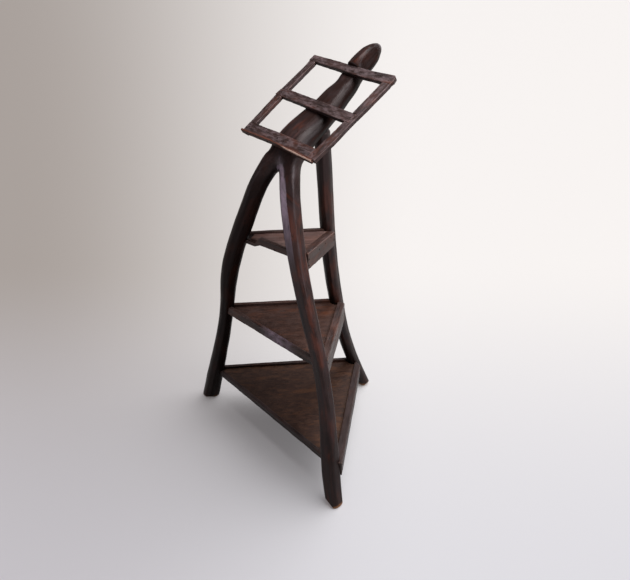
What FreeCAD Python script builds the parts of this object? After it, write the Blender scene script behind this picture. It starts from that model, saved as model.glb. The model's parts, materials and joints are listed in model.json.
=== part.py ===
"""A three-legged reading stand of hand-hewn natural-crook wood, in millimetres.

The reader stands at -Y and looks along +Y; +X is to the reader's right and +Z is up. A naturally forked
limb is turned upside down: its trunk is the sloping spine and its two branches are the front legs. A third
leg is tenoned up into the spine. The spine carries an open desk frame, and three triangular tray shelves
tie the legs together. Last of all the stand is moved so that the origin is the middle of its footprint.
"""

import FreeCAD, Part
import math
import os

Vector = FreeCAD.Vector
UPRIGHT = Vector(0, 0, 1)

# ---- Legs: stations of (height, x, y, thickness) from the floor up ---------------------------------------
LEFT_LEG = [
    (0, -338, -149, 56),
    (125, -306, -138, 53),
    (300, -254, -129, 44),
    (424, -220, -128, 42),
    (600, -174, -131, 53),
    (800, -93, -114, 52),
    (900, -52, -97, 51),
    (975, -26, -58, 54),
]
RIGHT_LEG = [
    (0, 345, -164, 47),
    (125, 308, -148, 52),
    (300, 259, -121, 43),
    (424, 217, -109, 42),
    (600, 147, -101, 46),
    (800, 73, -81, 52),
    (900, 43, -64, 56),
    (975, 20, -42, 54),
]
REAR_LEG = [
    (0, -1, 321, 40),
    (125, -12, 270, 40),
    (300, -11, 205, 41),
    (424, -6, 170, 44),
    (600, 2, 131, 45),
    (800, 13, 101, 44),
    (1035, 21, 74, 44),
]
LEG_SQUARENESS = 2.5
SECTION_SPACING = 55
BELOW_FLOOR = 30
FOOT_CHAMFER = 5

# ---- Desk plane: tilted up away from the reader --------------------------------------------------------
DESK_TILT = math.radians(30.4)
DESK_FOOT = Vector(0, -69, 1019)
ACROSS = Vector(1, 0, 0)
UP_SLOPE = Vector(0, math.cos(DESK_TILT), math.sin(DESK_TILT))
OUTWARD = Vector(0, -math.sin(DESK_TILT), math.cos(DESK_TILT))
DESK_THICKNESS = 12

# ---- Spine: stations of (distance up the desk, middle's height over the desk face, x, width, depth) ----
SPINE = [
    (-32, -60, -3, 60, 36),
    (-18, -56, -4, 94, 50),
    (5, -50, -3, 115, 60),
    (42, -44, -7, 124, 64),
    (90, -41, -9, 121, 60),
    (140, -39, -5, 113, 57),
    (200, -38, -4, 97, 55),
    (248, -37, -7, 85, 53),
    (290, -36, -8, 70, 51),
    (336, -20, -6, 57, 64),
    (372, -15, -1, 53, 61),
    (402, -12, 1, 46, 53),
    (424, -12, 2, 34, 39),
    (441, -13, 3, 12, 13),
]
SPINE_SQUARENESS = 2.3

# ---- Desk members: outlines of (across, up the slope) --------------------------------------------------
LEFT_STILE = [
    (-180, 346), (-180, 322), (-176, 298), (-177, 175), (-164, 3), (-140, 0), (-149, 161), (-153, 324),
]
RIGHT_STILE = [
    (137, 300), (138.5, 235), (135.5, 120), (129, -8), (158, -12), (162.5, 60), (162.5, 130), (165, 180),
    (168, 290), (165, 306), (161, 317), (150, 325),
]
TOP_RAIL = [
    (-183, 322), (60, 299), (165.5, 295.5), (168.5, 308), (165, 323), (158, 329.5), (68, 329), (-183, 347),
]
MIDDLE_RAIL = [(-180, 163), (151, 134), (153, 167), (137, 169), (-15, 181), (-140, 191), (-179, 187)]
BOTTOM_RAIL = [(-166, 7), (-30, 4), (148, -9), (149.5, 22), (107, 27), (-29, 37), (-168.5, 41)]
LEDGE = [(-167, 7), (-30, 3), (154, -13), (153, -19), (-31, -3), (-167, 1)]
# Where two members cross, the rail lies over the stile, except here.
STILE_OVER_RAIL = ("desk_right_stile", "desk_bottom_rail")
LEDGE_LOW = -8
LEDGE_HIGH = 6

# ---- Rear leg joint ------------------------------------------------------------------------------------
TENON_DIAMETER = 26
TENON_FROM = 1000
TENON_TO = 1052
PEG_DIAMETER = 9
PEG_LENGTH = 62
PEG_HEIGHT = 1038

# ---- Shelves -------------------------------------------------------------------------------------------
BOARD_THICKNESS = 14
BOARD_CLEARANCE = 1.5
BOARD_CORNER_CUTS = {"bottom_shelf": 2, "middle_shelf": 2, "top_shelf": 34}
# The front and left rails, as stations from the left front leg onward: share of the length, how far the outer
# face stands outside the line between the legs' middles, and the top and the bottom from the board's top. The
# top shelf's front rail ends in a low tongue at the left leg.
THIN_RAIL = 12
FRONT_RAILS = {
    "bottom_shelf": [(0, 2, 8, -10), (1, 2, 8, -10)],
    "middle_shelf": [(0, 11, 12, -15), (1, 11, 12, -15)],
    "top_shelf": [(0, 0, -8, -20), (0.27, 0, -8, -18), (0.36, 0, 16, -8), (1, 0, 12, -7)],
}
LEFT_RAILS = {
    "bottom_shelf": [(0, 11, 9, -22), (1, 9, 9, -22)],
    "middle_shelf": [(0, 10, 9, -22), (1, 2, 9, -22)],
    "top_shelf": [(0, 18, 5, -22), (1, -8, 5, -22)],
}
# The right rails are thicker planks that are wider at one end. For the end at the front leg and the end at
# the rear leg: how far it runs past the leg's middle, how much shorter the outer face is than the inner, how
# far it stands out over the leg's skin, and its top and bottom from the board's top.
RIGHT_RAIL_THICKNESS = 24
RIGHT_RAILS = {
    "bottom_shelf": ((6, 0, 10, 12, -36), (-8, 28, 10, 7, -38)),
    "middle_shelf": ((0, 0, 2, 13, -56), (-20, 6, 10, 10, -60)),
    "top_shelf": ((-11, 0, 4, 14, -38), (-8, 8, 9, -1, -48)),
}
SHELF_LEVELS = {"bottom_shelf": 125, "middle_shelf": 425, "top_shelf": 717}

# ---- Nails ---------------------------------------------------------------------------------------------
NAIL_SHANK = 3
NAIL_HEAD = 5.4
NAIL_HEAD_RISE = 1.0
SMALL_NAIL = 11
LEDGE_NAIL = 26
RAIL_NAIL = 40
SPINE_NAIL = 42
# Where nails sit: shares of a rail's length, and heights from the board's top.
RAIL_BOARD_NAILS = (0.4, 0.62, 0.84)
RAIL_LEG_NAILS = (0.03, 0.97)
RAIL_LEG_NAIL_HEIGHTS = (-6, -26)
BOARD_NAIL_HEIGHT = -7
FRONT_NAIL_HEIGHTS = {"bottom_shelf": -5.5, "middle_shelf": -7, "top_shelf": -3.5}
# Where nails sit on the desk: up the slope and across it over the spine, and as shares of the ledge's length.
FIXING_NAIL_ROWS = (313, 160, 16)
FIXING_NAIL_COLUMNS = (-18, 10)
LEDGE_NAIL_SHARES = (0.06, 0.3, 0.62, 0.93)
LEDGE_NAIL_OUT = -3


def on_desk(across, up, out=0.0):
    """A point given by its place in the tilted desk plane and its height over the reading face."""
    return DESK_FOOT + ACROSS * across + UP_SLOPE * up + OUTWARD * out


def between(stations, value, column):
    """One column of a station table, blended linearly at a value of its first column."""
    for low, high in zip(stations, stations[1:]):
        if value <= high[0]:
            break
    share = (value - low[0]) / (high[0] - low[0])
    return low[column] + share * (high[column] - low[column])


def ring(centre, along, width, depth, squareness):
    """A closed rounded-square outline across a limb, with its width level and square to the limb."""
    front = along.cross(ACROSS).normalize()
    side = front.cross(along).normalize()
    points = []
    for step in range(16):
        angle = 2 * math.pi * step / 16
        cosine, sine = math.cos(angle), math.sin(angle)
        reach = (abs(cosine) ** squareness + abs(sine) ** squareness) ** (-1 / squareness)
        points.append(centre + side * (reach * cosine * width / 2) + front * (reach * sine * depth / 2))
    outline = Part.BSplineCurve()
    outline.interpolate(points, PeriodicFlag=True)
    return Part.Wire([outline.toShape()])


def leg_curve(stations):
    """The centre line of a leg. Its parameter is the height over the floor."""
    curve = Part.BSplineCurve()
    points = [Vector(x, y, height) for height, x, y, _ in stations]
    curve.interpolate(points, Parameters=[station[0] for station in stations])
    return curve


def leg_loft(stations, extra=0.0):
    """A leg lofted along its centre line from below the floor up, with extra thickness if asked for."""
    curve = leg_curve(stations)
    top = stations[-1][0]
    count = math.ceil(top / SECTION_SPACING)
    lean = curve.tangent(0)[0]
    thickness = stations[0][3] + extra
    rings = [ring(curve.value(0) - lean * BELOW_FLOOR, lean, thickness, thickness, LEG_SQUARENESS)]
    for step in range(count + 1):
        height = top * step / count
        thickness = between(stations, height, 3) + extra
        middle, along = curve.value(height), curve.tangent(height)[0]
        rings.append(ring(middle, along, thickness, thickness, LEG_SQUARENESS))
    return Part.makeLoft(rings, True)


def leg_solid(stations):
    """A leg sawn off level with the floor, with a chamfered foot."""
    foot = leg_curve(stations).value(0)
    ground = Part.makeBox(400, 400, 100, foot - Vector(200, 200, 100))
    limb = leg_loft(stations).cut(ground)
    sole = [edge for edge in limb.Edges if edge.BoundBox.ZMax < 0.01]
    return limb.makeChamfer(FOOT_CHAMFER, sole)


def spine_solid():
    """The sloping spine, from between the front legs to the tip of its head."""
    curve = Part.BSplineCurve()
    curve.interpolate([on_desk(x, up, out) for up, out, x, _, _ in SPINE])
    rings = []
    for up, out, x, width, depth in SPINE:
        along = curve.tangent(curve.parameter(on_desk(x, up, out)))[0]
        rings.append(ring(on_desk(x, up, out), along, width, depth, SPINE_SQUARENESS))
    return Part.makeLoft(rings, True)


def desk_prism(outline, low, high):
    """A flat piece lying in the desk plane, between two heights over the reading face."""
    corners = [on_desk(across, up, low) for across, up in outline]
    face = Part.Face(Part.makePolygon(corners + corners[:1]))
    return face.extrude(OUTWARD * (high - low))


def level_prism(outline, low, high):
    """A flat level piece between two heights over the floor."""
    corners = [Vector(point.x, point.y, low) for point in outline]
    face = Part.Face(Part.makePolygon(corners + corners[:1]))
    return face.extrude(Vector(0, 0, high - low))


def plank(sections):
    """A straight-sided plank through two or more upright sections.

    Each section is (outer point, inner point, top, bottom), with top and bottom measured from its points.
    """
    wires = []
    for outer, inner, top, bottom in sections:
        low, high = UPRIGHT * bottom, UPRIGHT * top
        corners = [outer + low, outer + high, inner + high, inner + low]
        wires.append(Part.makePolygon(corners + corners[:1]))
    return Part.makeLoft(wires, True, True)


def nail(place, inward, length):
    """A hand-made nail with a low tapered head, its shank running inward from the surface."""
    shank = Part.makeCylinder(NAIL_SHANK / 2, length)
    head = Part.makeCone(NAIL_HEAD / 4, NAIL_HEAD / 2, NAIL_HEAD_RISE, Vector(0, 0, -NAIL_HEAD_RISE))
    body = shank.fuse(head)
    body.Placement = FreeCAD.Placement(place, FreeCAD.Rotation(UPRIGHT, inward))
    return body


def crossing(line_a, line_b):
    """The point where two level lines cross."""
    (a, b), (c, d) = line_a, line_b
    along, other = b - a, d - c
    share = (c - a).cross(other).z / along.cross(other).z
    return a + along * share


def half_lap(over, under):
    """Cut the crossing of two desk members so that each keeps half of the thickness."""
    shared = over.common(under)
    big = [(-250, -100), (250, -100), (250, 450), (-250, 450)]
    upper = shared.common(desk_prism(big, -DESK_THICKNESS / 2, 0))
    lower = shared.common(desk_prism(big, -DESK_THICKNESS, -DESK_THICKNESS / 2))
    return over.cut(lower), under.cut(upper)


def desk_parts():
    """The frame of the desk, half-lapped at its six crossings, its ledge and the nails of both."""
    stiles = {"desk_left_stile": LEFT_STILE, "desk_right_stile": RIGHT_STILE}
    rails = {"desk_top_rail": TOP_RAIL, "desk_middle_rail": MIDDLE_RAIL, "desk_bottom_rail": BOTTOM_RAIL}
    parts = {}
    for name, outline in {**stiles, **rails}.items():
        parts[name] = desk_prism(outline, -DESK_THICKNESS, 0)
    joint_nails = []
    for rail in rails:
        for stile in stiles:
            lap = parts[rail].common(parts[stile])
            middle = lap.Solids[0].CenterOfMass - DESK_FOOT
            place = on_desk(middle.dot(ACROSS), middle.dot(UP_SLOPE))
            joint_nails.append(nail(place, -OUTWARD, SMALL_NAIL))
            if (stile, rail) == STILE_OVER_RAIL:
                parts[stile], parts[rail] = half_lap(parts[stile], parts[rail])
            else:
                parts[rail], parts[stile] = half_lap(parts[rail], parts[stile])
    fixing_nails = []
    for up in FIXING_NAIL_ROWS:
        for across in FIXING_NAIL_COLUMNS:
            fixing_nails.append(nail(on_desk(across, up), -OUTWARD, SPINE_NAIL))
    parts["desk_ledge"] = desk_prism(LEDGE, LEDGE_LOW, LEDGE_HIGH)
    ledge_nails = []
    front = LEDGE[3:]
    for share in LEDGE_NAIL_SHARES:
        across = front[0][0] + share * (front[2][0] - front[0][0])
        up = edge_height(front, across)
        ledge_nails.append(nail(on_desk(across, up, LEDGE_NAIL_OUT), UP_SLOPE, LEDGE_NAIL))
    parts["desk_joint_nails"] = Part.makeCompound(joint_nails)
    parts["desk_fixing_nails"] = Part.makeCompound(fixing_nails)
    parts["ledge_nails"] = Part.makeCompound(ledge_nails)
    return parts


def edge_height(edge, across):
    """How far up the slope an edge lies at a place across the desk."""
    ordered = sorted(edge)
    return between(ordered, across, 1)


def right_rail(front_leg, rear_leg, level, shape):
    """The plank nailed outside a front leg and the rear leg: its solid, inner line and outer line."""
    front, rear = front_leg["curve"].value(level), rear_leg["curve"].value(level)
    along = (rear - front).normalize()
    outward = along.cross(UPRIGHT)
    ends = []
    for leg, middle, onward, end in ((front_leg, front, -along, shape[0]), (rear_leg, rear, along, shape[1])):
        past, slant, over, top, bottom = end
        reach = between(leg["stations"], level, 3) / 2 + over
        outer = middle + outward * reach + onward * (past - slant)
        inner = middle + outward * (reach - RIGHT_RAIL_THICKNESS) + onward * past
        ends.append((outer, inner, top, bottom))
    return plank(ends), (ends[0][1], ends[1][1]), (ends[0][0], ends[1][0])


def thin_rail(start, end, outward, stations):
    """A thin rail between two legs' middles: its solid, inner line and outer line."""
    sections = []
    for share, out, top, bottom in stations:
        outer = start + (end - start) * share + outward * out
        sections.append((outer, outer - outward * THIN_RAIL, top, bottom))
    first, last = sections[0], sections[-1]
    return plank(sections), (first[1], last[1]), (first[0], last[0])


def row_of_nails(line, inward, shares, height):
    """Nails driven in through the outer face of a rail, at shares of its length."""
    nails = []
    for share in shares:
        place = line[0] + (line[1] - line[0]) * share
        nails.append(nail(Vector(place.x, place.y, height), inward, RAIL_NAIL))
    return nails


def square_to(line, outward):
    """The level direction square to a rail's outer face that points back into the shelf."""
    across = (line[1] - line[0]).cross(UPRIGHT).normalize()
    return -across if across.dot(outward) > 0 else across


def shelf_parts(name, level, legs):
    """One tray shelf: its board, three rails and their nails."""
    front_left, front_right, rear = (legs[key]["curve"].value(level) for key in ("left", "right", "rear"))
    front_out = (front_right - front_left).normalize().cross(UPRIGHT)
    left_out = (front_left - rear).normalize().cross(UPRIGHT)
    right_out = (rear - front_right).normalize().cross(UPRIGHT)
    right, right_inner, right_outer = right_rail(legs["right"], legs["rear"], level, RIGHT_RAILS[name])
    front, front_inner, front_outer = thin_rail(front_left, front_right, front_out, FRONT_RAILS[name])
    left, left_inner, left_outer = thin_rail(front_left, rear, left_out, LEFT_RAILS[name])
    first, second, third = (
        crossing(front_inner, left_inner),
        crossing(front_inner, right_inner),
        crossing(right_inner, left_inner),
    )
    cut = BOARD_CORNER_CUTS[name]
    blunted = [first + (third - first).normalize() * cut, first + (second - first).normalize() * cut]
    board = level_prism(blunted + [second, third], level - BOARD_THICKNESS, level)
    middle = level + BOARD_NAIL_HEIGHT
    inward = square_to(right_outer, right_out)
    nails = row_of_nails(right_outer, inward, RAIL_BOARD_NAILS, middle)
    for height in RAIL_LEG_NAIL_HEIGHTS:
        nails += row_of_nails(right_outer, inward, RAIL_LEG_NAILS, level + height)
    nails += row_of_nails(left_outer, square_to(left_outer, left_out), RAIL_BOARD_NAILS, middle)
    front_height = level + FRONT_NAIL_HEIGHTS[name]
    nails += row_of_nails(front_outer, square_to(front_outer, front_out), RAIL_BOARD_NAILS, front_height)
    return {
        name + "_board": board,
        name + "_front_rail": front,
        name + "_left_rail": left,
        name + "_right_rail": right,
        name + "_nails": Part.makeCompound(nails),
    }


def trunk_and_rear_leg():
    """The forked trunk, the rear leg tenoned up into it, and the peg that holds the tenon."""
    fork = spine_solid().fuse([leg_solid(LEFT_LEG), leg_solid(RIGHT_LEG)])
    clearance = [(-250, -100), (250, -100), (250, 315), (-250, 351)]
    fork = fork.cut(desk_prism(clearance, -DESK_THICKNESS, 60))
    rear = leg_solid(REAR_LEG).cut(fork)
    rear_line = leg_curve(REAR_LEG)
    low, high = rear_line.value(TENON_FROM), rear_line.value(TENON_TO)
    tenon = Part.makeCylinder(TENON_DIAMETER / 2, (high - low).Length, low, high - low)
    fork = fork.cut(tenon)
    rear = rear.fuse(tenon)
    through = rear_line.value(PEG_HEIGHT)
    peg = Part.makeCylinder(PEG_DIAMETER / 2, PEG_LENGTH, through - ACROSS * PEG_LENGTH / 2, ACROSS)
    peg = peg.common(fork.fuse(rear))
    return {"forked_trunk": fork.cut(peg), "rear_leg": rear.cut(peg), "rear_leg_peg": peg}


def build():
    """Every piece of the stand by name, in its place."""
    legs = {
        "left": {"stations": LEFT_LEG, "curve": leg_curve(LEFT_LEG)},
        "right": {"stations": RIGHT_LEG, "curve": leg_curve(RIGHT_LEG)},
        "rear": {"stations": REAR_LEG, "curve": leg_curve(REAR_LEG)},
    }
    parts = trunk_and_rear_leg()
    limbs = [parts["forked_trunk"], parts["rear_leg"]]
    loose_legs = [leg_loft(leg["stations"], 2 * BOARD_CLEARANCE) for leg in legs.values()]
    for name, level in SHELF_LEVELS.items():
        for piece, solid in shelf_parts(name, level, legs).items():
            if piece.endswith("board"):
                parts[piece] = solid.cut(loose_legs)
            elif piece.endswith("rail"):
                parts[piece] = solid.cut(limbs)
            else:
                parts[piece] = solid
    parts.update(desk_parts())
    nails = Part.makeCompound([solid for name, solid in parts.items() if name.endswith("nails")])
    for name in parts:
        if not name.endswith("nails") and name != "rear_leg_peg":
            parts[name] = parts[name].cut(nails)
    return parts


def centred(parts):
    """Move every piece so that the origin is the middle of the footprint, on the floor."""
    whole = Part.makeCompound(list(parts.values())).optimalBoundingBox(False)
    shift = Vector(-whole.Center.x, -whole.Center.y, -whole.ZMin)
    for solid in parts.values():
        solid.translate(shift)
    return shift


os.makedirs("parts", exist_ok=True)
PARTS = build()
SHIFT = centred(PARTS)
for node, piece in PARTS.items():
    piece.exportStep("parts/" + node + ".step")
    volume = piece.Volume / 1000
    print(f"{node:26s} solids {len(piece.Solids):3d} valid {piece.isValid()} volume {volume:9.1f} cm3")
print("moved by", [round(value, 2) for value in SHIFT])
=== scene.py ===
import json
import math

import bpy
import numpy as np
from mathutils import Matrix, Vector, noise


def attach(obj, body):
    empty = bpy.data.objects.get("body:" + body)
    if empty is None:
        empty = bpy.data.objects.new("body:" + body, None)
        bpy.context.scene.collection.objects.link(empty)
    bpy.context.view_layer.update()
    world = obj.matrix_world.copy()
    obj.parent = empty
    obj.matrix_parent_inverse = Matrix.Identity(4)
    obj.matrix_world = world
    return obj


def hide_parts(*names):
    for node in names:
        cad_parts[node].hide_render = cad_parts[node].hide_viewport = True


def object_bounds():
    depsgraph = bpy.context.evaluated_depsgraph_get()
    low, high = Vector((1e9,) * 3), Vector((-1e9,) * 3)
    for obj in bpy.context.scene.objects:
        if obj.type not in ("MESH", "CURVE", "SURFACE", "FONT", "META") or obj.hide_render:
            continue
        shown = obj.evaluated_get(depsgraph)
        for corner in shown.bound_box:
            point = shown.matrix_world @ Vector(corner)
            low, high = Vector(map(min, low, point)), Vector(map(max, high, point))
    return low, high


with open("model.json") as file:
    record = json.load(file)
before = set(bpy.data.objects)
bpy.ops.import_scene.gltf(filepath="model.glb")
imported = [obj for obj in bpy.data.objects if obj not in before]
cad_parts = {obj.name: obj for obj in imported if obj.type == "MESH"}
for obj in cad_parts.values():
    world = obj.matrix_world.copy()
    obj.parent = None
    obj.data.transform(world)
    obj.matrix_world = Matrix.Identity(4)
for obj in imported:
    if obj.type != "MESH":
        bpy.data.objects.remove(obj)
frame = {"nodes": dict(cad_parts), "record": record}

CAD_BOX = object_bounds()

# ---- Camera --------------------------------------------------------------------------------------
# The lens and its sensor are in millimetres, and the camera sees as far as CAMERA_SIGHT.
CAMERA_PLACE = (1.3232, -1.2053, 1.5390)
CAMERA_AZIMUTH = math.radians(47.97)
CAMERA_PITCH = math.radians(28.53)
CAMERA_LENS = 36.57
CAMERA_SHIFT = (0.0008, -0.0262)
CAMERA_SENSOR = 36
CAMERA_SIGHT = 200

# ---- Limbs: how finely each is worked, and the flats hewn along it -------------------------------
# A flat is (angle round the limb, share of the reach left under it, how much it wanders). Angle 0 faces the
# reader, or out of the desk on the spine, and 90 degrees faces +X.
RIGHT_LEG_FLATS = [
    (8, 0.89, 0.008), (52, 0.95, 0.02), (95, 0.94, 0.02), (150, 0.94, 0.02), (205, 0.94, 0.02),
    (255, 0.94, 0.02), (305, 0.96, 0.02),
]
LEFT_LEG_FLATS = [
    (20, 0.94, 0.02), (75, 0.94, 0.02), (130, 0.95, 0.02), (190, 0.94, 0.02), (235, 0.95, 0.02),
    (285, 0.94, 0.02), (330, 0.96, 0.02),
]
REAR_LEG_FLATS = [
    (15, 0.95, 0.02), (62, 0.94, 0.02), (110, 0.94, 0.02), (170, 0.95, 0.02), (225, 0.94, 0.02),
    (290, 0.94, 0.02),
]
SPINE_FLATS = [(8, 0.965, 0.006), (108, 0.95, 0.01), (180, 0.95, 0.02), (240, 0.96, 0.02)]
HEAD_FLATS = [(-26, 0.84, 0.01), (62, 0.87, 0.01), (125, 0.94, 0.02), (180, 0.94, 0.02), (240, 0.95, 0.02)]
LIMB_VOXEL = 0.0026
# The seeds of the limbs' noise: for the flats, and for the lumps and ridges.
LEFT_LEG_SEED, RIGHT_LEG_SEED, SPINE_SEED, HEAD_SEED, REAR_LEG_SEED = 11, 23, 31, 37, 41
TRUNK_ROUGH_SEED, REAR_LEG_ROUGH_SEED = 5, 9
# The thickness of the slabs that a limb is cut into to find its centre line, how many vertices a slab has to
# have more than, and the rounds in which the line is smoothed and a point's place on it is found.
SLAB = 0.015
SLAB_VERTICES = 12
AXIS_ROUNDS = 8
PLACE_ROUNDS = 4
# How far a flat turns as it wanders, in degrees, how quickly its slow and quick wanderings change, and how
# far apart the flats of a limb lie in the noise.
FLAT_TURN = 12
FLAT_SLOW, FLAT_QUICK = 8, 21
FLAT_APART = 0.7
# How far the surfaces stand out, to make up for what the smoothing takes off.
LIMB_SWELL = 0.0008
HEAD_SWELL = 0.0035
MELT_SWELL = 0.0045
# The depth of a limb's broad lumps and of its fine ridges, and the rounds of smoothing before they are made.
LIMB_LUMP, LIMB_FINE = 0.0007, 0.00022
LIMB_ROUNDS = 2
# How often each of them changes along the grain, as shares of how often per metre it does across it.
RIDGE_STRETCH, RIDGE_SCALE = (0.12, 1.0, 1.0), 260
LUMP_STRETCH, LUMP_SCALE = (0.6, 1.0, 1.0), 26
# Where the front legs part, and the place and reach of the surface that is melted into one round it, with the
# part of the reach where the melting is full, and its rounds of smoothing.
CROTCH = (-0.001, -0.151, 0.945)
MELT_CENTRE = (-0.005, -0.136, 0.965)
MELT_REACH = 0.165
MELT_CORE = 0.45 * MELT_REACH
MELT_ROUNDS = 200
# Heights from the crotch: the legs' axes end below the first, their flats fade out over the second pair, and
# the grain of the legs turns into the spine's over the third. The two grains are lined up where the height is
# within GRAIN_JOIN of that third pair's middle.
LEG_TOP = -0.02
LEG_FLATS_FADE = (-0.06, 0.02)
GRAIN_BLEND = (-0.10, 0.0)
GRAIN_JOIN = 0.02
# Distances up the slope from the middle of the desk: where the spine's axis starts, where the spine's flats
# fade in, where the head begins, and where its swell fades out to the tip.
SPINE_START = -0.125
SPINE_FADE = (-0.12, -0.02)
HEAD_FADE = (0.172, 0.196)
HEAD_TIP = (0.235, 0.268)
# The facet cut on each foot: the way it faces, and its depth.
FOOT_CUTS = {
    "left": ((0.52, -0.47, -0.70), 0.005),
    "right": ((-0.24, -0.79, -0.55), 0.008),
    "rear": ((0.70, 0.18, -0.70), 0.006),
}
FOOT_CUT_HEIGHT = 0.08
# How deep a cut is where bare wood starts to show and where it is all that shows.
CUT_BARE = (0.0002, 0.0012)
# How far up from the floor the feet are worn bare, over which share of that it fades, and how ragged that is.
FRONT_FOOT_BARE = 0.012
REAR_FOOT_BARE = 0.016
FOOT_FADE = (0.4, 1.0)
FOOT_RAGGED, FOOT_RAGGED_SCALE = 0.6, 60

# ---- Painted highlights and painted shade on the limbs ---
# The painted highlight on a face of the right leg: the way it faces and how that fades, in degrees, the
# heights over which it fades in and out, and how it fades from the left leg.
HIGHLIGHT_FACING = -2
HIGHLIGHT_EDGE = (7, 16)
HIGHLIGHT_LOW = (0.66, 0.86)
HIGHLIGHT_HIGH = (0.945, 0.99)
HIGHLIGHT_SIDE = (-0.030, -0.005)
# How strong the painted highlight is, how much that varies and how often per metre. Then how far its edge
# wanders: in degrees round the leg, in height, and in the closeness to the rim's direction.
HIGHLIGHT_STRENGTH, HIGHLIGHT_VARIES, HIGHLIGHT_SCALE = 0.85, 0.4, 45
FACING_RAGGED, HEIGHT_RAGGED, RIM_RAGGED = 5, 0.02, 0.03
# The painted highlight line along the left leg: the way it faces, and how closely a surface has to face that
# way.
RIM_FACING = (-0.76, -0.33, 0.56)
RIM_EDGE = (0.90, 0.97)
# Painted shade darkens the left leg below the fork, all the legs towards their feet, and the spine's right
# side. The whole spine is made darker too.
LEFT_LEG_SHADE_HIGH = (0.90, 0.985)
LOW_SHADE = 0.6
LOW_SHADE_HEIGHTS = (0.08, 0.60)
SPINE_DARKENING = 0.5
SPINE_SIDE_SHADE = 0.5
SPINE_SIDE = (35, 70)

# ---- Planks --------------------------------------------------------------------------------------
DESK_MEMBERS = [
    "desk_left_stile", "desk_right_stile", "desk_top_rail", "desk_middle_rail", "desk_bottom_rail",
]
UPRIGHT = (0, 0, 1)
SHELF_VOXELS = {"bottom_shelf": 0.0026, "middle_shelf": 0.0022, "top_shelf": 0.0018}
DESK_VOXEL = 0.0014
LEDGE_VOXEL = 0.0011
RAIL_VOXEL = 0.0016
# The seeds of the planks' noise. Each shelf's board has the first of its ten, and its rails have the next.
DESK_SEED, LEDGE_SEED, SHELF_SEED, SHELF_SEEDS = 50, 61, 70, 10
# How far the grain's pattern is moved along the plank from one seed to the next.
GRAIN_STEP = 0.37
# About how many vertices are enough to find the way in which a plank is longest.
LONG_SAMPLE = 4000
# The depth of a plank's broad lumps, its fine ridges and the chips out of its edges.
PLANK_LUMP, PLANK_FINE, PLANK_CHIP = 0.0005, 0.0002, 0.0010
BOARD_LUMP = 0.0009
LEDGE_CHIP = 0.0006
EDGE_SWELL = 0.0005
# How often the chips change per metre, the broad and the fine ones, and how much the fine ones count.
CHIP_SCALE, FINE_CHIP_SCALE = 70, 240
FINE_CHIP_SHARE = 0.35
# One rail gets a painted highlight over the middle of its length.
HIGHLIGHTED_RAIL = "middle_shelf_front_rail"
RAIL_HIGHLIGHT_START = (0.38, 0.55)
RAIL_HIGHLIGHT_END = (0.70, 0.85)
RAIL_HIGHLIGHT_STRENGTH, RAIL_HIGHLIGHT_VARIES, RAIL_HIGHLIGHT_SCALE = 0.45, 0.5, 60
# The ledge's lip is worn to bare wood right of this place, above this height over the reading face and below
# this distance from its own middle.
LIP_WORN_FROM = 0.030
LIP_WORN_ABOVE = 0.001
LIP_WORN_BELOW = -0.0012
LIP_FADE = 0.015
# How softly the worn wood ends at its upper and its lower border, and how ragged they are.
LIP_SOFT_ABOVE, LIP_SOFT_BELOW = 0.0006, 0.0004
LIP_RAGGED, LIP_RAGGED_SCALE = 0.0010, 110

# ---- Wear and noise ------------------------------------------------------------------------------
# The seeds of the noise that makes worn borders and the borders of painted highlights ragged.
FOOT_SEED, HIGHLIGHT_SEED, RAIL_HIGHLIGHT_SEED, LIP_SEED = 4, 8, 3, 6
# A vertex that stands out from its smoothed surroundings by this much counts as fully worn.
LIMB_WEAR_REACH = 0.0011
PLANK_WEAR_REACH = 0.0009
WEAR_ROUNDS = 6
# How far a vertex moves towards the middle of its neighbours in one round of smoothing.
SMOOTHING = 0.5

# ---- Wood colours shared by all the woods, as 8-bit display values -------------------------------
# The first colour is a painted highlight, the second painted shade on the limbs, and the third painted shade
# in checks and corners.
PAINTED_HIGHLIGHT = (162, 144, 160)
PAINTED_SHADE = (18, 10, 7)
PAINTED_CREVICE_SHADE = (10, 6, 5)
# How much of the colour turns to bare wood, to the painted shade on the limbs, or to painted shade in the
# checks and corners.
BARE_SHARE = 0.85
PAINTED_SHADE_SHARE = 0.7
CHECK_SHARE = 0.7
HOLLOW_SHARE = 0.6
# How much of its colour an underside keeps under its painted shade, how much the woods reflect, and the depth
# of their finest relief.
UNDERSIDE_SHADE = 0.45
GLOSS = 0.3
BUMP_DEPTH = 0.0012
# How often these change per metre along the grain and across it: the warm patches, the lines that the checks
# follow, and the places where there are checks. A band is this share as frequent as a fibre.
WARM_PATCHES = (9, 30, 30)
CHECK_LINES = (5, 95, 95)
CHECK_PLACES = (11, 26, 26)
BAND_LONG, BAND_ACROSS = 0.6, 0.16
# The values of a pattern, of wear or of the upward facing between which each of these sets in.
STREAK_RANGE = (0.36, 0.62)
WARM_RANGE = (0.5, 0.68)
# The next two ranges set in the greyish dust, which also carries a painted sheen on upward faces.
DUST_AND_SHEEN_RANGE = (0.42, 0.66)
DUST_AND_SHEEN_FACING = (-0.5, 0.9)
SCUFF_WEAR = (0.25, 0.95)
SCUFF_RANGE = (0.34, 0.6)
CHECK_WIDTH = (0.004, 0.016)
CHECK_RANGE = (0.52, 0.6)
# The next range sets in a painted highlight, and the two after it set in painted shade in hollows and on
# undersides.
HIGHLIGHT_RANGE = (0.3, 0.6)
HOLLOW_WEAR = (-0.1, -0.8)
UNDERSIDE_FACING = (-0.55, 0.35)
ROUGH_RANGE = (0.36, 0.64)
# How much dust and painted sheen an underside gets, how much a smooth edge is scuffed, and the least and most
# painted highlight.
LEAST_DUST_AND_SHEEN = 0.35
LEAST_SCUFF = 0.25
HIGHLIGHT_SHARE = (0.45, 0.9)
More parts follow.
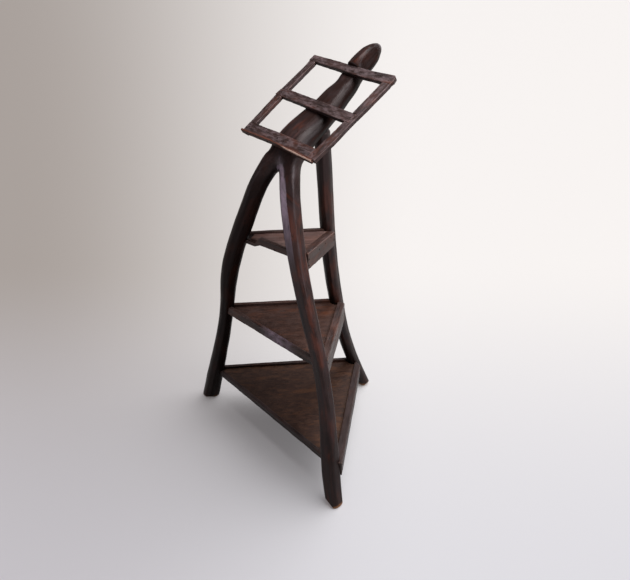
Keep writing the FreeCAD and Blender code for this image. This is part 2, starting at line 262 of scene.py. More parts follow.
# The depth of a check in the relief, the fibres' share in the roughness and the clouds' share in the relief.
CHECK_DEPTH = 0.9
ROUGH_FIBRES = 0.4
RELIEF_CLOUDS = 0.45

# ---- Iron ----------------------------------------------------------------------------------------
# The colours are 8-bit display values. IRON_GRAIN is how often the rust changes per metre.
IRON_DARK = (30, 25, 24)
IRON_RUST = (58, 37, 28)
IRON_GRAIN = (900, 900, 900)
IRON_RUST_RANGE = (0.45, 0.62)
IRON_ROUGH_RANGE = (0.3, 0.7)
IRON_ROUGHNESS = (0.5, 0.8)
IRON_BUMP, IRON_BUMP_DEPTH = 0.4, 0.0004
IRON_METAL = 0.7

# ---- Studio --------------------------------------------------------------------------------------
FLOOR_REACH = 60.0
# The floor's colours, as 8-bit display values, which paint light and shade onto it: how far sideways it turns
# from left to right, as a share of the distance, and how far ahead it turns from near to far.
FLOOR_FAR_LEFT = (163, 156, 151)
FLOOR_FAR_RIGHT = (240, 238, 236)
FLOOR_NEAR_LEFT = (194, 192, 197)
FLOOR_NEAR_RIGHT = (216, 216, 221)
FLOOR_TURN = (-0.43, 0.17)
FLOOR_NEAR_AND_FAR = (0.9, 3.0)
# The floor's glow is painted light that lightens the shadows on it.
FLOOR_PAINTED_GLOW = 0.2
FLOOR_ROUGHNESS = 0.9
FLOOR_GLOSS = 0.2
WORLD_SEEN = (0.72, 0.69, 0.68, 1.0)
WORLD_FILL = (0.12, 0.10, 0.10, 1.0)
SUN_FROM = (0.25, 0.65, 1.0)
SUN_STRENGTH = 2.9
SUN_SOFTNESS = math.radians(80)
# A lamp is (name, place, what it faces, size, power, colour).
LAMPS = [
    ("overhead_box", (0.35, 0.25, 2.4), (0, 0, 0.6), (1.2, 1.2), 37, (1.0, 0.96, 0.98)),
    ("back_box", (-0.5, 2.0, 1.7), (0, 0, 0.8), (1.0, 1.0), 20, (1.0, 0.95, 1.0)),
    ("left_window", (-1.5, -2.0, 1.0), (0, 0, 0.85), (0.35, 1.2), 7, (1.0, 0.90, 1.0)),
    ("right_window", (1.9, 0.1, 1.9), (0, 0, 0.9), (0.6, 1.0), 34, (1.0, 0.92, 0.98)),
]


# ---- Points and meshes ---------------------------------------------------------------------------
def points_of(mesh):
    """The vertices of a mesh as an array."""
    flat = np.zeros(len(mesh.vertices) * 3)
    mesh.vertices.foreach_get("co", flat)
    return flat.reshape(-1, 3)


def normals_of(mesh):
    """The vertex normals of a mesh as an array."""
    flat = np.zeros(len(mesh.vertices) * 3)
    mesh.vertices.foreach_get("normal", flat)
    return flat.reshape(-1, 3)


def edges_of(mesh):
    """The two vertex numbers of each edge."""
    flat = np.zeros(len(mesh.edges) * 2, int)
    mesh.edges.foreach_get("vertices", flat)
    return flat.reshape(-1, 2)


def set_points(mesh, points):
    """Moves the vertices of a mesh, none of them out of the whole object's box."""
    mesh.vertices.foreach_set("co", points.clip(CAD_BOX[0], CAD_BOX[1]).ravel())
    mesh.update()


def neighbour_mean(points, edges):
    """The mean of each vertex's neighbours."""
    count = np.bincount(edges.ravel(), minlength=len(points)).clip(1)
    mean = np.empty_like(points)
    for axis in range(3):
        total = np.bincount(edges[:, 0], points[edges[:, 1], axis], len(points))
        total += np.bincount(edges[:, 1], points[edges[:, 0], axis], len(points))
        mean[:, axis] = total / count
    return mean


def relaxed(points, edges, rounds, share=SMOOTHING):
    """Points after some rounds of smoothing. share may be one number or one per point."""
    for _ in range(rounds):
        points = points + (neighbour_mean(points, edges) - points) * share
    return points


def noise_at(points, scale, seed):
    """Smooth noise from about -1 to 1 at points, with features about 1 / scale metres across."""
    offset = np.array([seed * 7.31, seed * 3.17, seed * 5.71])
    moved = points * scale + offset
    return np.fromiter((noise.noise(p) for p in moved.tolist()), float, len(moved))


def smooth_step(low, high, values):
    """0 below low, 1 above high and smooth between."""
    share = ((values - low) / (high - low)).clip(0, 1)
    return share * share * (3 - 2 * share)


def unit(vectors):
    """Vectors scaled to length 1."""
    return vectors / np.linalg.norm(vectors, axis=-1, keepdims=True).clip(1e-9)


def fine_copy(node, voxel):
    """A new object with the CAD node's shape as an even, fine mesh."""
    piece = bpy.data.objects.new("carved_" + node, frame["nodes"][node].data.copy())
    bpy.context.scene.collection.objects.link(piece)
    piece.data.materials.clear()
    remesh = piece.modifiers.new("even", "REMESH")
    remesh.mode = "VOXEL"
    remesh.voxel_size = voxel
    graph = bpy.context.evaluated_depsgraph_get()
    mesh = bpy.data.meshes.new_from_object(piece.evaluated_get(graph))
    piece.modifiers.clear()
    piece.data = mesh
    mesh.name = piece.name
    mesh.shade_smooth()
    return piece


def store(mesh, name, values):
    """Keeps one number or one vector per vertex for the material."""
    kind = "FLOAT" if values.ndim == 1 else "FLOAT_VECTOR"
    key = "value" if values.ndim == 1 else "vector"
    attribute = mesh.attributes.new(name, kind, "POINT")
    attribute.data.foreach_set(key, values.astype(np.float32).ravel())


def wear_of(points, normals, edges, reach):
    """How far each vertex stands out: 1 or more on a sharp edge, 0 on a flat, -1 or less in a corner."""
    return ((points - relaxed(points, edges, WEAR_ROUNDS)) * normals).sum(1) / reach


def finish_piece(piece, node, material):
    """Puts a worked piece in the place of its CAD node."""
    piece.data.materials.append(material)
    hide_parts(node)
    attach(piece, "root")


# ---- Limbs ---------------------------------------------------------------------------------------
class Axis:
    """The centre line of a limb: the middles of its vertices in slabs across a direction."""

    def __init__(self, points, direction):
        self.direction = np.array(direction, float)
        height = points @ self.direction
        number = ((height - height.min()) / SLAB).astype(int)
        places, middles = [], []
        for slab in range(1, number.max()):
            inside = number == slab
            if inside.sum() > SLAB_VERTICES:
                low, high = points[inside].min(0), points[inside].max(0)
                places.append(height[inside].mean())
                middles.append((low + high) / 2)
        self.places, self.middles = np.array(places), np.array(middles)
        for _ in range(AXIS_ROUNDS):
            self.middles[1:-1] = (self.middles[:-2] + 2 * self.middles[1:-1] + self.middles[2:]) / 4
        self.tangents = unit(np.gradient(self.middles, axis=0))
        steps = np.linalg.norm(np.diff(self.middles, axis=0), axis=1)
        self.travel = np.concatenate([[0], np.cumsum(steps)])

    def table(self, values, height):
        """A table of vectors kept per slab, read at heights."""
        return np.stack([np.interp(height, self.places, values[:, k]) for k in range(3)], 1)

    def at(self, points):
        """For each point: the middle beside it, the direction along the limb and the distance along it."""
        height = points @ self.direction
        for _ in range(PLACE_ROUNDS):
            middle, along = self.table(self.middles, height), unit(self.table(self.tangents, height))
            past = ((points - middle) * along).sum(1)
            height = height + past * (along @ self.direction)
        travel = np.interp(height, self.places, self.travel) + past
        return middle + along * past[:, None], along, travel


def hew(points, axis, flats, strength, seed):
    """Cuts flats along a limb, each wandering in depth as an adze leaves it.

    Returns the points and their grain: how far along the limb each is, and how far forward and sideways.
    """
    middle, along, travel = axis.at(points)
    front = unit(np.array([0.0, -1.0, 0.0]) + along * along[:, 1:2])
    side = np.cross(along, front)
    side = np.where(side[:, 0:1] < 0, -side, side)
    radial = points - middle
    forward, sideways = (radial * front).sum(1), (radial * side).sum(1)
    slab = ((travel - travel.min()) / SLAB).astype(int)
    slab_places = (np.arange(slab.max() + 1) + 0.5) * SLAB + travel.min()
    for number, (angle, share, wander) in enumerate(flats):
        line = np.stack([travel, np.full(len(travel), number * FLAT_APART), np.zeros(len(travel))], 1)
        slow, quick = noise_at(line, FLAT_SLOW, seed), noise_at(line, FLAT_QUICK, seed + 1)
        turn = np.radians(angle + FLAT_TURN * slow)
        reach = forward * np.cos(turn) + sideways * np.sin(turn)
        support = np.zeros(slab.max() + 1)
        np.maximum.at(support, slab, reach)
        depth = np.interp(travel, slab_places, support) * (share + wander * (slow + quick))
        over = (reach - depth).clip(0) * strength
        ahead, aside = np.cos(turn) * over, np.sin(turn) * over
        points = points - front * ahead[:, None] - side * aside[:, None]
        forward, sideways = forward - ahead, sideways - aside
    return points, np.stack([travel, forward, sideways], 1)


def roughened(points, normals, grain, seed, lump, fine):
    """Points moved along their normals by broad lumps and by fine ridges along the grain."""
    ridges = noise_at(grain * np.array(RIDGE_STRETCH), RIDGE_SCALE, seed)
    lumps = noise_at(grain * np.array(LUMP_STRETCH), LUMP_SCALE, seed + 1)
    return points + normals * (lumps * lump + ridges * fine)[:, None]


def melted(points, edges, normals):
    """Points after what lies round the fork is melted into one smooth surface."""
    near = 1 - smooth_step(MELT_CORE, MELT_REACH, np.linalg.norm(points - np.array(MELT_CENTRE), axis=1))
    points = points + normals * (near * MELT_SWELL)[:, None]
    return relaxed(points, edges, MELT_ROUNDS, near[:, None] * SMOOTHING)


def cut_foot(points, near, facing, depth):
    """Cuts a small facet on a foot. Returns the points and how bare the cut leaves each."""
    facing = unit(np.array(facing))
    near = near & (points[:, 2] < FOOT_CUT_HEIGHT)
    reach = points @ facing
    over = (reach - reach[near].max() + depth).clip(0) * near
    return points - facing * over[:, None], smooth_step(*CUT_BARE, over)


def desk_frame():
    """The middle of the reading face, the direction out of it and the direction up its slope."""
    mount = MOUNTS["reading_face"]
    outward = np.array(mount["axis"])
    return np.array(mount["pos_m"]), outward, np.array([0, outward[2], -outward[1]])


def limb_wear(mesh, points, edges, foot_height, cut):
    """Stores how worn each vertex is and how bare the wood of a foot is."""
    set_points(mesh, points)
    normals = normals_of(mesh)
    store(mesh, "wear", wear_of(points, normals, edges, LIMB_WEAR_REACH).clip(-1, 1))
    ragged = foot_height * (1 + FOOT_RAGGED * noise_at(points, FOOT_RAGGED_SCALE, FOOT_SEED))
    store(mesh, "bare", np.maximum(cut, 1 - smooth_step(*FOOT_FADE, points[:, 2] / ragged)))


def build_trunk(material):
    """The forked trunk: two front legs that flow into the spine, and the spine's hewn head."""
    piece = fine_copy("forked_trunk", LIMB_VOXEL)
    mesh = piece.data
    points, edges, normals = points_of(mesh), edges_of(mesh), normals_of(mesh)
    desk, outward, up_slope = desk_frame()
    points = melted(points, edges, normals)
    left = points[:, 0] < CROTCH[0]
    height = points[:, 2] - CROTCH[2]
    slope = (points - desk) @ up_slope
    low = height < LEG_TOP
    spine = slope > SPINE_START
    on_spine = smooth_step(*SPINE_FADE, slope)
    head = smooth_step(*HEAD_FADE, slope)
    tip = smooth_step(*HEAD_TIP, slope)
    points = points + normals * (LIMB_SWELL + (HEAD_SWELL - LIMB_SWELL) * head * (1 - tip))[:, None]
    height = points[:, 2] - CROTCH[2]
    leg_share = 1 - smooth_step(*LEG_FLATS_FADE, height)
    leg_grain = np.zeros_like(points)
    legs = ((left, LEFT_LEG_FLATS, LEFT_LEG_SEED), (~left, RIGHT_LEG_FLATS, RIGHT_LEG_SEED))
    for side, flats, seed in legs:
        axis = Axis(points[side & low], UPRIGHT)
        points[side], leg_grain[side] = hew(points[side], axis, flats, leg_share[side], seed)
    axis = Axis(points[spine], up_slope)
    points, spine_grain = hew(points, axis, SPINE_FLATS, on_spine * (1 - head), SPINE_SEED)
    points, spine_grain = hew(points, axis, HEAD_FLATS, head, HEAD_SEED)
    height = points[:, 2] - CROTCH[2]
    join = np.abs(height - np.mean(GRAIN_BLEND)) < GRAIN_JOIN
    spine_grain[:, 0] += (leg_grain[join, 0] - spine_grain[join, 0]).mean()
    blend = smooth_step(*GRAIN_BLEND, height)[:, None]
    grain = leg_grain * (1 - blend) + spine_grain * blend
    points = relaxed(points, edges, LIMB_ROUNDS)
    set_points(mesh, points)
    points = roughened(points, normals_of(mesh), grain, TRUNK_ROUGH_SEED, LIMB_LUMP, LIMB_FINE)
    points, left_cut = cut_foot(points, left, *FOOT_CUTS["left"])
    points, right_cut = cut_foot(points, ~left, *FOOT_CUTS["right"])
    limb_wear(mesh, points, edges, FRONT_FOOT_BARE, left_cut + right_cut)
    store(mesh, "grain", grain)
    # Painted highlights near the fork, painted shade on the legs and the spine's right side, and the whole
    # spine darker.
    store(mesh, "highlight_and_darkening", leg_highlight_and_darkening(points, normals_of(mesh), left) - SPINE_DARKENING * on_spine)
    finish_piece(piece, "forked_trunk", material)


def low_shade(points):
    """How dark the wood is painted towards the feet, as painted shade."""
    return LOW_SHADE * (1 - smooth_step(*LOW_SHADE_HEIGHTS, points[:, 2]))


def leg_highlight_and_darkening(points, normals, left):
    """Painted highlight and painted shade on the trunk: over 0 on the painted highlights near the fork, under
    0 where painted shade darkens it.
    """
    facing = np.degrees(np.arctan2(normals[:, 0], -normals[:, 1]))
    height = points[:, 2]
    ragged = noise_at(points, HIGHLIGHT_SCALE, HIGHLIGHT_SEED)
    face = 1 - smooth_step(*HIGHLIGHT_EDGE, np.abs(facing - HIGHLIGHT_FACING) + FACING_RAGGED * ragged)
    span = smooth_step(*HIGHLIGHT_LOW, height)
    span = span * (1 - smooth_step(*HIGHLIGHT_HIGH, height + HEIGHT_RAGGED * ragged))
    highlight = face * span * smooth_step(*HIGHLIGHT_SIDE, points[:, 0] - CROTCH[0])
    rim = left * smooth_step(*RIM_EDGE, normals @ unit(np.array(RIM_FACING)) + RIM_RAGGED * ragged)
    highlight = np.maximum(highlight, rim * smooth_step(*HIGHLIGHT_LOW, height))
    # Painted shade on the left leg below the fork, on all the legs towards the feet, and on the spine's right
    # side.
    darkened = left * (1 - smooth_step(*LEFT_LEG_SHADE_HIGH, height)) * (1 - rim)
    spine_side = smooth_step(*SPINE_SIDE, facing) * (height > LEFT_LEG_SHADE_HIGH[1])
    shaded = np.maximum(darkened, low_shade(points)) + SPINE_SIDE_SHADE * spine_side
    return highlight * (HIGHLIGHT_STRENGTH + HIGHLIGHT_VARIES * ragged) - shaded


def build_rear_leg(material):
    """The rear leg, hewn along its whole length."""
    piece = fine_copy("rear_leg", LIMB_VOXEL)
    mesh = piece.data
    points, edges = points_of(mesh), edges_of(mesh)
    points, grain = hew(points, Axis(points, UPRIGHT), REAR_LEG_FLATS, 1.0, REAR_LEG_SEED)
    points = relaxed(points, edges, LIMB_ROUNDS)
    set_points(mesh, points)
    points = roughened(points, normals_of(mesh), grain, REAR_LEG_ROUGH_SEED, LIMB_LUMP, LIMB_FINE)
    points, cut = cut_foot(points, points[:, 2] < FOOT_CUT_HEIGHT, *FOOT_CUTS["rear"])
    limb_wear(mesh, points, edges, REAR_FOOT_BARE, cut)
    store(mesh, "grain", grain)
    # Painted shade towards the foot.
    store(mesh, "highlight_and_darkening", -low_shade(points))
    finish_piece(piece, "rear_leg", material)


# ---- Planks --------------------------------------------------------------------------------------
def long_direction(node):
    """The direction in which a CAD node is longest, in plan."""
    points = points_of(frame["nodes"][node].data)
    flat = points - points.mean(0)
    return np.linalg.svd(flat[:: max(1, len(flat) // LONG_SAMPLE)], full_matrices=False)[2][0]


def build_plank(node, material, voxel, along, upward, seed, soften=2, lump=PLANK_LUMP, chip=PLANK_CHIP):
    """A hewn plank: its edges rounded and chipped, its faces rippled along the grain."""
    piece = fine_copy(node, voxel)
    mesh = piece.data
    points, edges = relaxed(points_of(mesh), edges_of(mesh), soften), edges_of(mesh)
    along = unit(np.array(along, float))
    across = unit(np.cross(np.array(upward, float), along))
    through = np.cross(along, across)
    middle = points.mean(0)
    grain = (points - middle) @ np.stack([along, across, through], 1)
    grain = grain + np.array([seed * GRAIN_STEP, 0, 0])
    set_points(mesh, points)
    normals = normals_of(mesh)
    edge_wear = wear_of(points, normals, edges, PLANK_WEAR_REACH).clip(0, 1)
    fine_chips = FINE_CHIP_SHARE * noise_at(points, FINE_CHIP_SCALE, seed + 2)
    chips = (noise_at(points, CHIP_SCALE, seed) + fine_chips).clip(0)
    points = points - normals * (edge_wear * (chips * chip - EDGE_SWELL))[:, None]
    points = roughened(points, normals, grain, seed, lump, PLANK_FINE)
    set_points(mesh, points)
    store(mesh, "wear", wear_of(points, normals_of(mesh), edges, PLANK_WEAR_REACH).clip(-1, 1))
    store(mesh, "bare", lip_wear(points) if node == "desk_ledge" else np.zeros(len(points)))
    store(mesh, "grain", grain)
    # That rail gets a painted highlight over the middle of its length.
    if node == HIGHLIGHTED_RAIL:
        share = (points[:, 0] - points[:, 0].min()) / np.ptp(points[:, 0])
        highlit_span = smooth_step(*RAIL_HIGHLIGHT_START, share) * (1 - smooth_step(*RAIL_HIGHLIGHT_END, share))
        strength = RAIL_HIGHLIGHT_STRENGTH + RAIL_HIGHLIGHT_VARIES * noise_at(points, RAIL_HIGHLIGHT_SCALE, RAIL_HIGHLIGHT_SEED)
        store(mesh, "highlight_and_darkening", highlit_span * strength.clip(0, 1))
    finish_piece(piece, node, material)


def lip_wear(points):
    """How bare the ledge's lip is worn: along its low outer edge, from past the middle to the right end."""
    desk, outward, up_slope = desk_frame()
    height = (points - desk) @ outward
    rise = points @ up_slope
    straight = points[:, 0] > LIP_WORN_FROM
    line = np.polyfit(points[straight, 0], rise[straight], 1)
    aside = rise - np.polyval(line, points[:, 0])
    ragged = LIP_RAGGED * noise_at(points, LIP_RAGGED_SCALE, LIP_SEED)
    above = smooth_step(-LIP_SOFT_ABOVE, LIP_SOFT_ABOVE, height - LIP_WORN_ABOVE + ragged)
    below = smooth_step(-LIP_SOFT_BELOW, LIP_SOFT_BELOW, LIP_WORN_BELOW - aside + ragged)
    return above * below * smooth_step(LIP_WORN_FROM - LIP_FADE, LIP_WORN_FROM + LIP_FADE, points[:, 0])


def build_desk(materials):
    """The open frame of the desk and the ledge along its low edge."""
    outward = MOUNTS["reading_face"]["axis"]
    for number, node in enumerate(DESK_MEMBERS):
        along = long_direction(node)
        build_plank(node, materials["desk"], DESK_VOXEL, along, outward, DESK_SEED + number)
    build_plank(
        "desk_ledge", materials["ledge"], LEDGE_VOXEL, long_direction("desk_ledge"), outward,
        LEDGE_SEED, soften=1, chip=LEDGE_CHIP,
    )


def build_shelves(materials):
    """The three tray shelves."""
    for number, (shelf, board_voxel) in enumerate(SHELF_VOXELS.items()):
        node, along, board = shelf + "_board", long_direction(shelf + "_left_rail"), materials[shelf]
        # The bottom shelf's rails take a darker copy of the rail wood, as painted shade.
        rails = materials["low_rails_painted_shade" if shelf == "bottom_shelf" else "rails"]
        seed = SHELF_SEED + SHELF_SEEDS * number
        build_plank(node, board, board_voxel, along, UPRIGHT, seed, soften=3, lump=BOARD_LUMP)
        for side in ("front", "left", "right"):
            node = shelf + "_" + side + "_rail"
            seed += 1
            build_plank(node, rails, RAIL_VOXEL, long_direction(node), UPRIGHT, seed)


# ---- Materials -----------------------------------------------------------------------------------
def shade(red, green, blue):
    """A linear colour from 8-bit display values."""
    return tuple(((value / 255 + 0.055) / 1.055) ** 2.4 for value in (red, green, blue)) + (1.0,)


class Nodes:
    """Builds a material's nodes, each in one call."""

    def __init__(self, name):
        self.material = bpy.data.materials.new(name)
        self.material.use_nodes = True
        self.tree = self.material.node_tree
        self.tree.nodes.clear()

    def add(self, kind, inputs=None, **settings):
        """A node with its settings, and its inputs set to values or linked to sockets."""
        made = self.tree.nodes.new(kind)
        for key, value in settings.items():
            setattr(made, key, value)
        for key, value in (inputs or {}).items():
            if isinstance(value, bpy.types.NodeSocket):
                self.tree.links.new(value, made.inputs[key])
            else:
                made.inputs[key].default_value = value
        return made

    def math(self, operation, first, second=0.0):
        """A number worked out from two others."""
        return self.add("ShaderNodeMath", {0: first, 1: second}, operation=operation).outputs[0]

    def noise(self, vector, stretch, detail=4.0, roughness=0.55, seed=0.0, distortion=0.0):
        """Noise over a vector stretched by a factor per axis."""
        shift = (seed, seed * 1.7, seed * 0.6)
        scaled = self.add("ShaderNodeVectorMath", {0: vector, 1: stretch, 2: shift}, operation="MULTIPLY_ADD")
        inputs = {"Vector": scaled.outputs[0], "Scale": 1.0, "Detail": detail}
        inputs.update({"Roughness": roughness, "Distortion": distortion})
        return self.add("ShaderNodeTexNoise", inputs).outputs["Fac"]

    def ramp(self, value, low, high, to_low=0.0, to_high=1.0):
        """A value mapped smoothly from one range to another."""
        inputs = {"Value": value, "From Min": low, "From Max": high, "To Min": to_low, "To Max": to_high}
        return self.add("ShaderNodeMapRange", inputs, interpolation_type="SMOOTHSTEP").outputs[0]

    def mix(self, share, first, second, blend="MIX"):
        """Two colours mixed."""
        inputs = {0: share, 6: first, 7: second}
        return self.add("ShaderNodeMix", inputs, data_type="RGBA", blend_type=blend).outputs[2]

    def attribute(self, name, output="Fac"):
        """A number or vector kept per vertex."""
        return self.add("ShaderNodeAttribute", attribute_name=name).outputs[output]

    def product(self, first, second):
        """Two numbers multiplied."""
        return self.math("MULTIPLY", first, second)

    def blend(self, first, second, second_share):
        """Two numbers mixed in shares that add up to 1."""
        return self.math("ADD", self.product(first, 1 - second_share), self.product(second, second_share))

    def dot(self, vector, line):
        """How far a vector reaches along a line."""
        node = self.add("ShaderNodeVectorMath", {0: vector, 1: line}, operation="DOT_PRODUCT")
        return node.outputs["Value"]


def wood(
    name, dark, body, warm, grey, pale, roughness=(0.38, 0.62), fibre=(7, 420, 420), cloud=(14, 34, 34),
    warm_share=0.45, grey_share=0.4, pale_share=0.5, band_share=0.4, bump=0.5, seed=0.0, bare=(150, 112, 70),
):
    """Old hewn wood: fibres along the grain, reddish patches, greyish dust with a painted sheen, long checks
    and worn edges, painted highlights and painted shade.

    The colours are 8-bit display values, and fibre and cloud are how often those patterns change per metre.
    """
    n = Nodes(name)
    grain = n.attribute("grain", "Vector")
    wear = n.attribute("wear")
    highlight_and_darkening = n.attribute("highlight_and_darkening")
    bareness = n.attribute("bare")
    band = (fibre[0] * BAND_LONG, fibre[1] * BAND_ACROSS, fibre[2] * BAND_ACROSS)
    fibres = n.noise(grain, fibre, detail=5, roughness=0.65, seed=seed)
    bands = n.noise(grain, band, detail=3, seed=seed + 3, distortion=0.4)
    patches = n.noise(grain, WARM_PATCHES, detail=4, roughness=0.6, seed=seed + 5)
    clouds = n.noise(grain, cloud, detail=5, roughness=0.65, seed=seed + 9)
    lines = n.noise(grain, CHECK_LINES, detail=2, roughness=0.4, seed=seed + 12)
    where = n.noise(grain, CHECK_PLACES, detail=1, seed=seed + 15)
    streak = n.blend(fibres, bands, band_share)
    colour = n.mix(n.ramp(streak, *STREAK_RANGE), shade(*dark), shade(*body))
    colour = n.mix(n.product(n.ramp(patches, *WARM_RANGE), warm_share), colour, shade(*warm))
    # Greyish dust with a painted sheen, most of it on upward faces.
    normal = n.add("ShaderNodeNewGeometry").outputs["Normal"]
    facing_up = n.add("ShaderNodeSeparateXYZ", {0: normal}).outputs[2]
    dust_and_sheen = n.product(n.ramp(clouds, *DUST_AND_SHEEN_RANGE), n.ramp(facing_up, *DUST_AND_SHEEN_FACING, LEAST_DUST_AND_SHEEN, 1.0))
    colour = n.mix(n.product(dust_and_sheen, grey_share), colour, shade(*grey))
    scuffed = n.product(n.ramp(wear, *SCUFF_WEAR), n.ramp(clouds, *SCUFF_RANGE, LEAST_SCUFF, 1.0))
    colour = n.mix(n.product(scuffed, pale_share), colour, shade(*pale))
    colour = n.mix(n.product(bareness, BARE_SHARE), colour, n.mix(streak, shade(*body), shade(*bare)))
    crack = n.ramp(n.math("ABSOLUTE", n.math("SUBTRACT", lines, 0.5)), *CHECK_WIDTH, 1.0, 0.0)
    crack = n.product(crack, n.ramp(where, *CHECK_RANGE))
    # A pale painted highlight where the per-vertex value is over 0.
    highlight = n.product(n.math("MAXIMUM", highlight_and_darkening, 0.0), n.ramp(clouds, *HIGHLIGHT_RANGE, *HIGHLIGHT_SHARE))
    colour = n.mix(highlight, colour, shade(*PAINTED_HIGHLIGHT))
    # Painted shade on the limbs and a plain darkening of the spine turn the colour dark and dull the gloss.
    darkened = n.product(n.math("MINIMUM", highlight_and_darkening, 0.0), -PAINTED_SHADE_SHARE)
    colour = n.mix(darkened, colour, shade(*PAINTED_SHADE))
    # Painted shade in the checks and hollows.
    hollow = n.ramp(wear, *HOLLOW_WEAR)
    shadow = n.math("MAXIMUM", n.product(crack, CHECK_SHARE), n.product(hollow, HOLLOW_SHARE))
    colour = n.mix(shadow, colour, shade(*PAINTED_CREVICE_SHADE))
    # Painted shade on undersides, which bare wood is left out of.
    lit = n.math("MAXIMUM", n.ramp(facing_up, *UNDERSIDE_FACING, UNDERSIDE_SHADE, 1.0), bareness)
    colour = n.mix(1.0, colour, lit, "MULTIPLY")
    rough = n.ramp(n.blend(clouds, fibres, ROUGH_FIBRES), *ROUGH_RANGE, *roughness)
    height = n.math("SUBTRACT", n.blend(fibres, clouds, RELIEF_CLOUDS), n.product(crack, CHECK_DEPTH))
    relief = n.add("ShaderNodeBump", {"Strength": bump, "Distance": BUMP_DEPTH, "Height": height})
    inputs = {"Base Color": colour, "Roughness": rough, "Normal": relief.outputs[0]}
    shader = n.add("ShaderNodeBsdfPrincipled", inputs)
    reflecting = n.product(n.product(lit, GLOSS), n.math("SUBTRACT", 1.0, darkened))
    n.tree.links.new(reflecting, shader.inputs["Specular IOR Level"])
    n.add("ShaderNodeOutputMaterial", {"Surface": shader.outputs[0]})
    return n.material


def iron(name):
    """Hand-forged nail iron, dark and dull with a little rust."""
    n = Nodes(name)
    place = n.add("ShaderNodeNewGeometry").outputs["Position"]
    rust = n.noise(place, IRON_GRAIN, detail=3)
    colour = n.mix(n.ramp(rust, *IRON_RUST_RANGE), shade(*IRON_DARK), shade(*IRON_RUST))
    inputs = {"Strength": IRON_BUMP, "Distance": IRON_BUMP_DEPTH, "Height": rust}
    relief = n.add("ShaderNodeBump", inputs)
    rough = n.ramp(rust, *IRON_ROUGH_RANGE, *IRON_ROUGHNESS)
    inputs = {"Base Color": colour, "Roughness": rough, "Normal": relief.outputs[0]}
    shader = n.add("ShaderNodeBsdfPrincipled", inputs)
    shader.inputs["Metallic"].default_value = IRON_METAL
    n.add("ShaderNodeOutputMaterial", {"Surface": shader.outputs[0]})
    return n.material


def floor_material():
    """A pale studio floor with painted light and shade: darker on the reader's left, changing from near to
    far, and glowing a little.
    """
    n = Nodes("floor")
    place = n.add("ShaderNodeNewGeometry").outputs["Position"]
    reach = n.add("ShaderNodeVectorMath", {0: place, 1: CAMERA_PLACE}, operation="SUBTRACT").outputs[0]
    ground = Vector((-math.sin(CAMERA_AZIMUTH), math.cos(CAMERA_AZIMUTH), 0))
    rightward = Vector((math.cos(CAMERA_AZIMUTH), math.sin(CAMERA_AZIMUTH), 0))
    distance = n.add("ShaderNodeVectorMath", {0: reach}, operation="LENGTH").outputs["Value"]
    level = n.math("DIVIDE", n.dot(reach, rightward), distance)
    # Painted light and shade, darker on the reader's left and changing from near to far, and a glow in the
    # same colour.
    far = n.ramp(n.dot(reach, ground), *FLOOR_NEAR_AND_FAR)
    left = n.mix(far, shade(*FLOOR_NEAR_LEFT), shade(*FLOOR_FAR_LEFT))
    right = n.mix(far, shade(*FLOOR_NEAR_RIGHT), shade(*FLOOR_FAR_RIGHT))
    colour = n.mix(n.ramp(level, *FLOOR_TURN), left, right)
    inputs = {"Base Color": colour, "Roughness": FLOOR_ROUGHNESS, "Emission Color": colour}
    shader = n.add("ShaderNodeBsdfPrincipled", inputs)
    shader.inputs["Emission Strength"].default_value = FLOOR_PAINTED_GLOW
    shader.inputs["Specular IOR Level"].default_value = FLOOR_GLOSS
    n.add("ShaderNodeOutputMaterial", {"Surface": shader.outputs[0]})
    return n.material


# ---- Studio --------------------------------------------------------------------------------------
def area_light(name, place, target, size, power, colour, unlit):
    """A soft rectangular lamp that faces a point, and leaves one collection unlit."""
    lamp = bpy.data.lights.new(name, "AREA")
    lamp.shape = "RECTANGLE"
    lamp.size, lamp.size_y = size
    lamp.energy = power
    lamp.color = colour
    thing = bpy.data.objects.new(name, lamp)
    thing.location = place
    thing.rotation_euler = (Vector(target) - Vector(place)).to_track_quat("-Z", "Y").to_euler()
    bpy.context.scene.collection.objects.link(thing)
    thing.light_linking.receiver_collection = unlit
    for entry in unlit.collection_objects:
        entry.light_linking.link_state = "EXCLUDE"


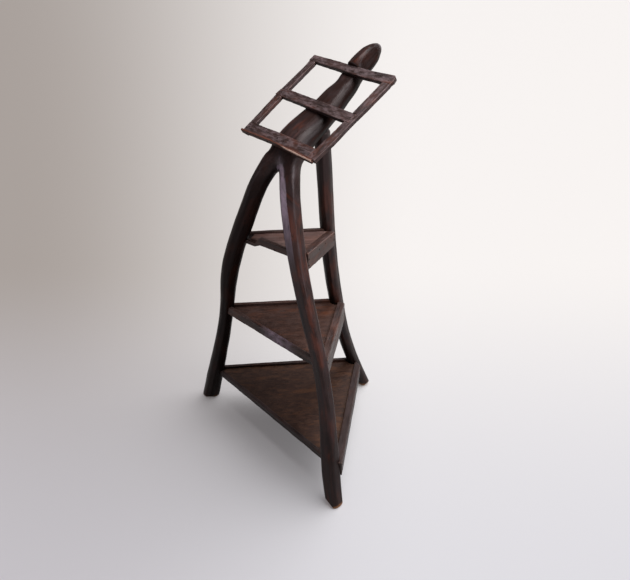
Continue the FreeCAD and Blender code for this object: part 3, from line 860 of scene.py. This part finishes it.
def build_studio():
    """The floor, the lamps, the soft surroundings and the camera."""
    mesh = bpy.data.meshes.new("floor")
    reach = FLOOR_REACH
    corners = [(-reach, -reach, 0), (reach, -reach, 0), (reach, reach, 0), (-reach, reach, 0)]
    mesh.from_pydata(corners, [], [(0, 1, 2, 3)])
    floor = bpy.data.objects.new("floor", mesh)
    bpy.context.scene.collection.objects.link(floor)
    mesh.materials.append(floor_material())
    unlit = bpy.data.collections.new("unlit_by_lamps")
    unlit.objects.link(floor)
    for name, place, target, size, power, colour in LAMPS:
        area_light(name, place, target, size, power, colour, unlit)
    sun = bpy.data.lights.new("overhead", "SUN")
    sun.energy = SUN_STRENGTH
    sun.angle = SUN_SOFTNESS
    overhead = bpy.data.objects.new("overhead", sun)
    overhead.rotation_euler = Vector(SUN_FROM).to_track_quat("Z", "Y").to_euler()
    bpy.context.scene.collection.objects.link(overhead)
    floor_only = bpy.data.collections.new("floor_only")
    floor_only.objects.link(floor)
    overhead.light_linking.receiver_collection = floor_only
    world = bpy.data.worlds.new("studio")
    world.use_nodes = True
    tree = world.node_tree
    seen = tree.nodes.new("ShaderNodeLightPath")
    colours = tree.nodes.new("ShaderNodeMix")
    colours.data_type = "RGBA"
    colours.inputs[6].default_value = WORLD_FILL
    colours.inputs[7].default_value = WORLD_SEEN
    tree.links.new(seen.outputs["Is Camera Ray"], colours.inputs[0])
    tree.links.new(colours.outputs[2], tree.nodes["Background"].inputs["Color"])
    bpy.context.scene.world = world
    camera = bpy.data.cameras.new("camera")
    camera.lens = CAMERA_LENS
    camera.sensor_width = CAMERA_SENSOR
    camera.shift_x, camera.shift_y = CAMERA_SHIFT
    camera.clip_end = CAMERA_SIGHT
    view = bpy.data.objects.new("camera", camera)
    view.location = CAMERA_PLACE
    view.rotation_euler = (math.pi / 2 - CAMERA_PITCH, 0, CAMERA_AZIMUTH)
    bpy.context.scene.collection.objects.link(view)
    bpy.context.scene.camera = view
    bpy.context.scene.view_settings.view_transform = "Standard"


# ---- Making the stand ----------------------------------------------------------------------------
MOUNTS = {mount["name"]: mount for mount in frame["record"]["mounts"]}
build_studio()
WOODS = {
    "limbs": wood(
        "limb_wood", (23, 13, 11), (50, 33, 29), (96, 46, 27), (64, 52, 55), (96, 68, 54),
        roughness=(0.3, 0.5), fibre=(8, 300, 300), bump=0.35, warm_share=0.42, grey_share=0.3,
        pale_share=0.35, seed=1, bare=(226, 158, 96),
    ),
    "desk": wood(
        "desk_wood", (22, 14, 12), (56, 40, 37), (88, 47, 31), (112, 98, 100), (132, 92, 72),
        roughness=(0.42, 0.68), fibre=(16, 330, 330), band_share=0.3, cloud=(45, 110, 110), bump=1.0,
        grey_share=0.45, seed=21,
    ),
    "ledge": wood(
        "ledge_wood", (44, 22, 15), (92, 50, 34), (118, 60, 38), (96, 70, 62), (120, 84, 64), pale_share=0.4,
        seed=33, bare=(255, 226, 206),
    ),
    "rails": wood(
        "rail_wood", (30, 19, 16), (70, 50, 43), (96, 54, 35), (92, 76, 72), (120, 92, 76), seed=45,
    ),
    # A darker copy of the rail wood, as painted shade for the bottom shelf.
    "low_rails_painted_shade": wood(
        "low_rail_wood_painted_shade", (22, 14, 12), (52, 37, 32), (72, 42, 30), (66, 54, 54), (96, 74, 62), seed=47,
    ),
    # The boards are painted darker the lower they stand and the top one lighter, as painted shade and painted
    # light.
    "bottom_shelf": wood(
        "bottom_board_wood_painted_shade", (34, 20, 13), (62, 40, 28), (100, 64, 36), (84, 60, 44), (104, 76, 54), seed=57,
        roughness=(0.5, 0.75), fibre=(24, 520, 520), band_share=0.1, cloud=(40, 60, 60),
    ),
    "middle_shelf": wood(
        "middle_board_wood", (38, 24, 19), (76, 50, 38), (108, 62, 36), (86, 66, 58), (106, 78, 60), seed=69,
        roughness=(0.5, 0.75), fibre=(24, 520, 520), band_share=0.1, cloud=(40, 60, 60),
    ),
    "top_shelf": wood(
        "top_board_wood_painted_light", (62, 46, 41), (122, 94, 85), (118, 80, 62), (124, 106, 100), (140, 114, 100),
        seed=81, roughness=(0.45, 0.7), fibre=(10, 520, 520), band_share=0.2,
    ),
}
build_trunk(WOODS["limbs"])
build_rear_leg(WOODS["limbs"])
build_desk(WOODS)
build_shelves(WOODS)
NAIL_IRON = iron("nail_iron")
for name, thing in frame["nodes"].items():
    if not thing.hide_render:
        thing.data.materials.clear()
        thing.data.materials.append(NAIL_IRON if name.endswith("nails") else WOODS["desk"])
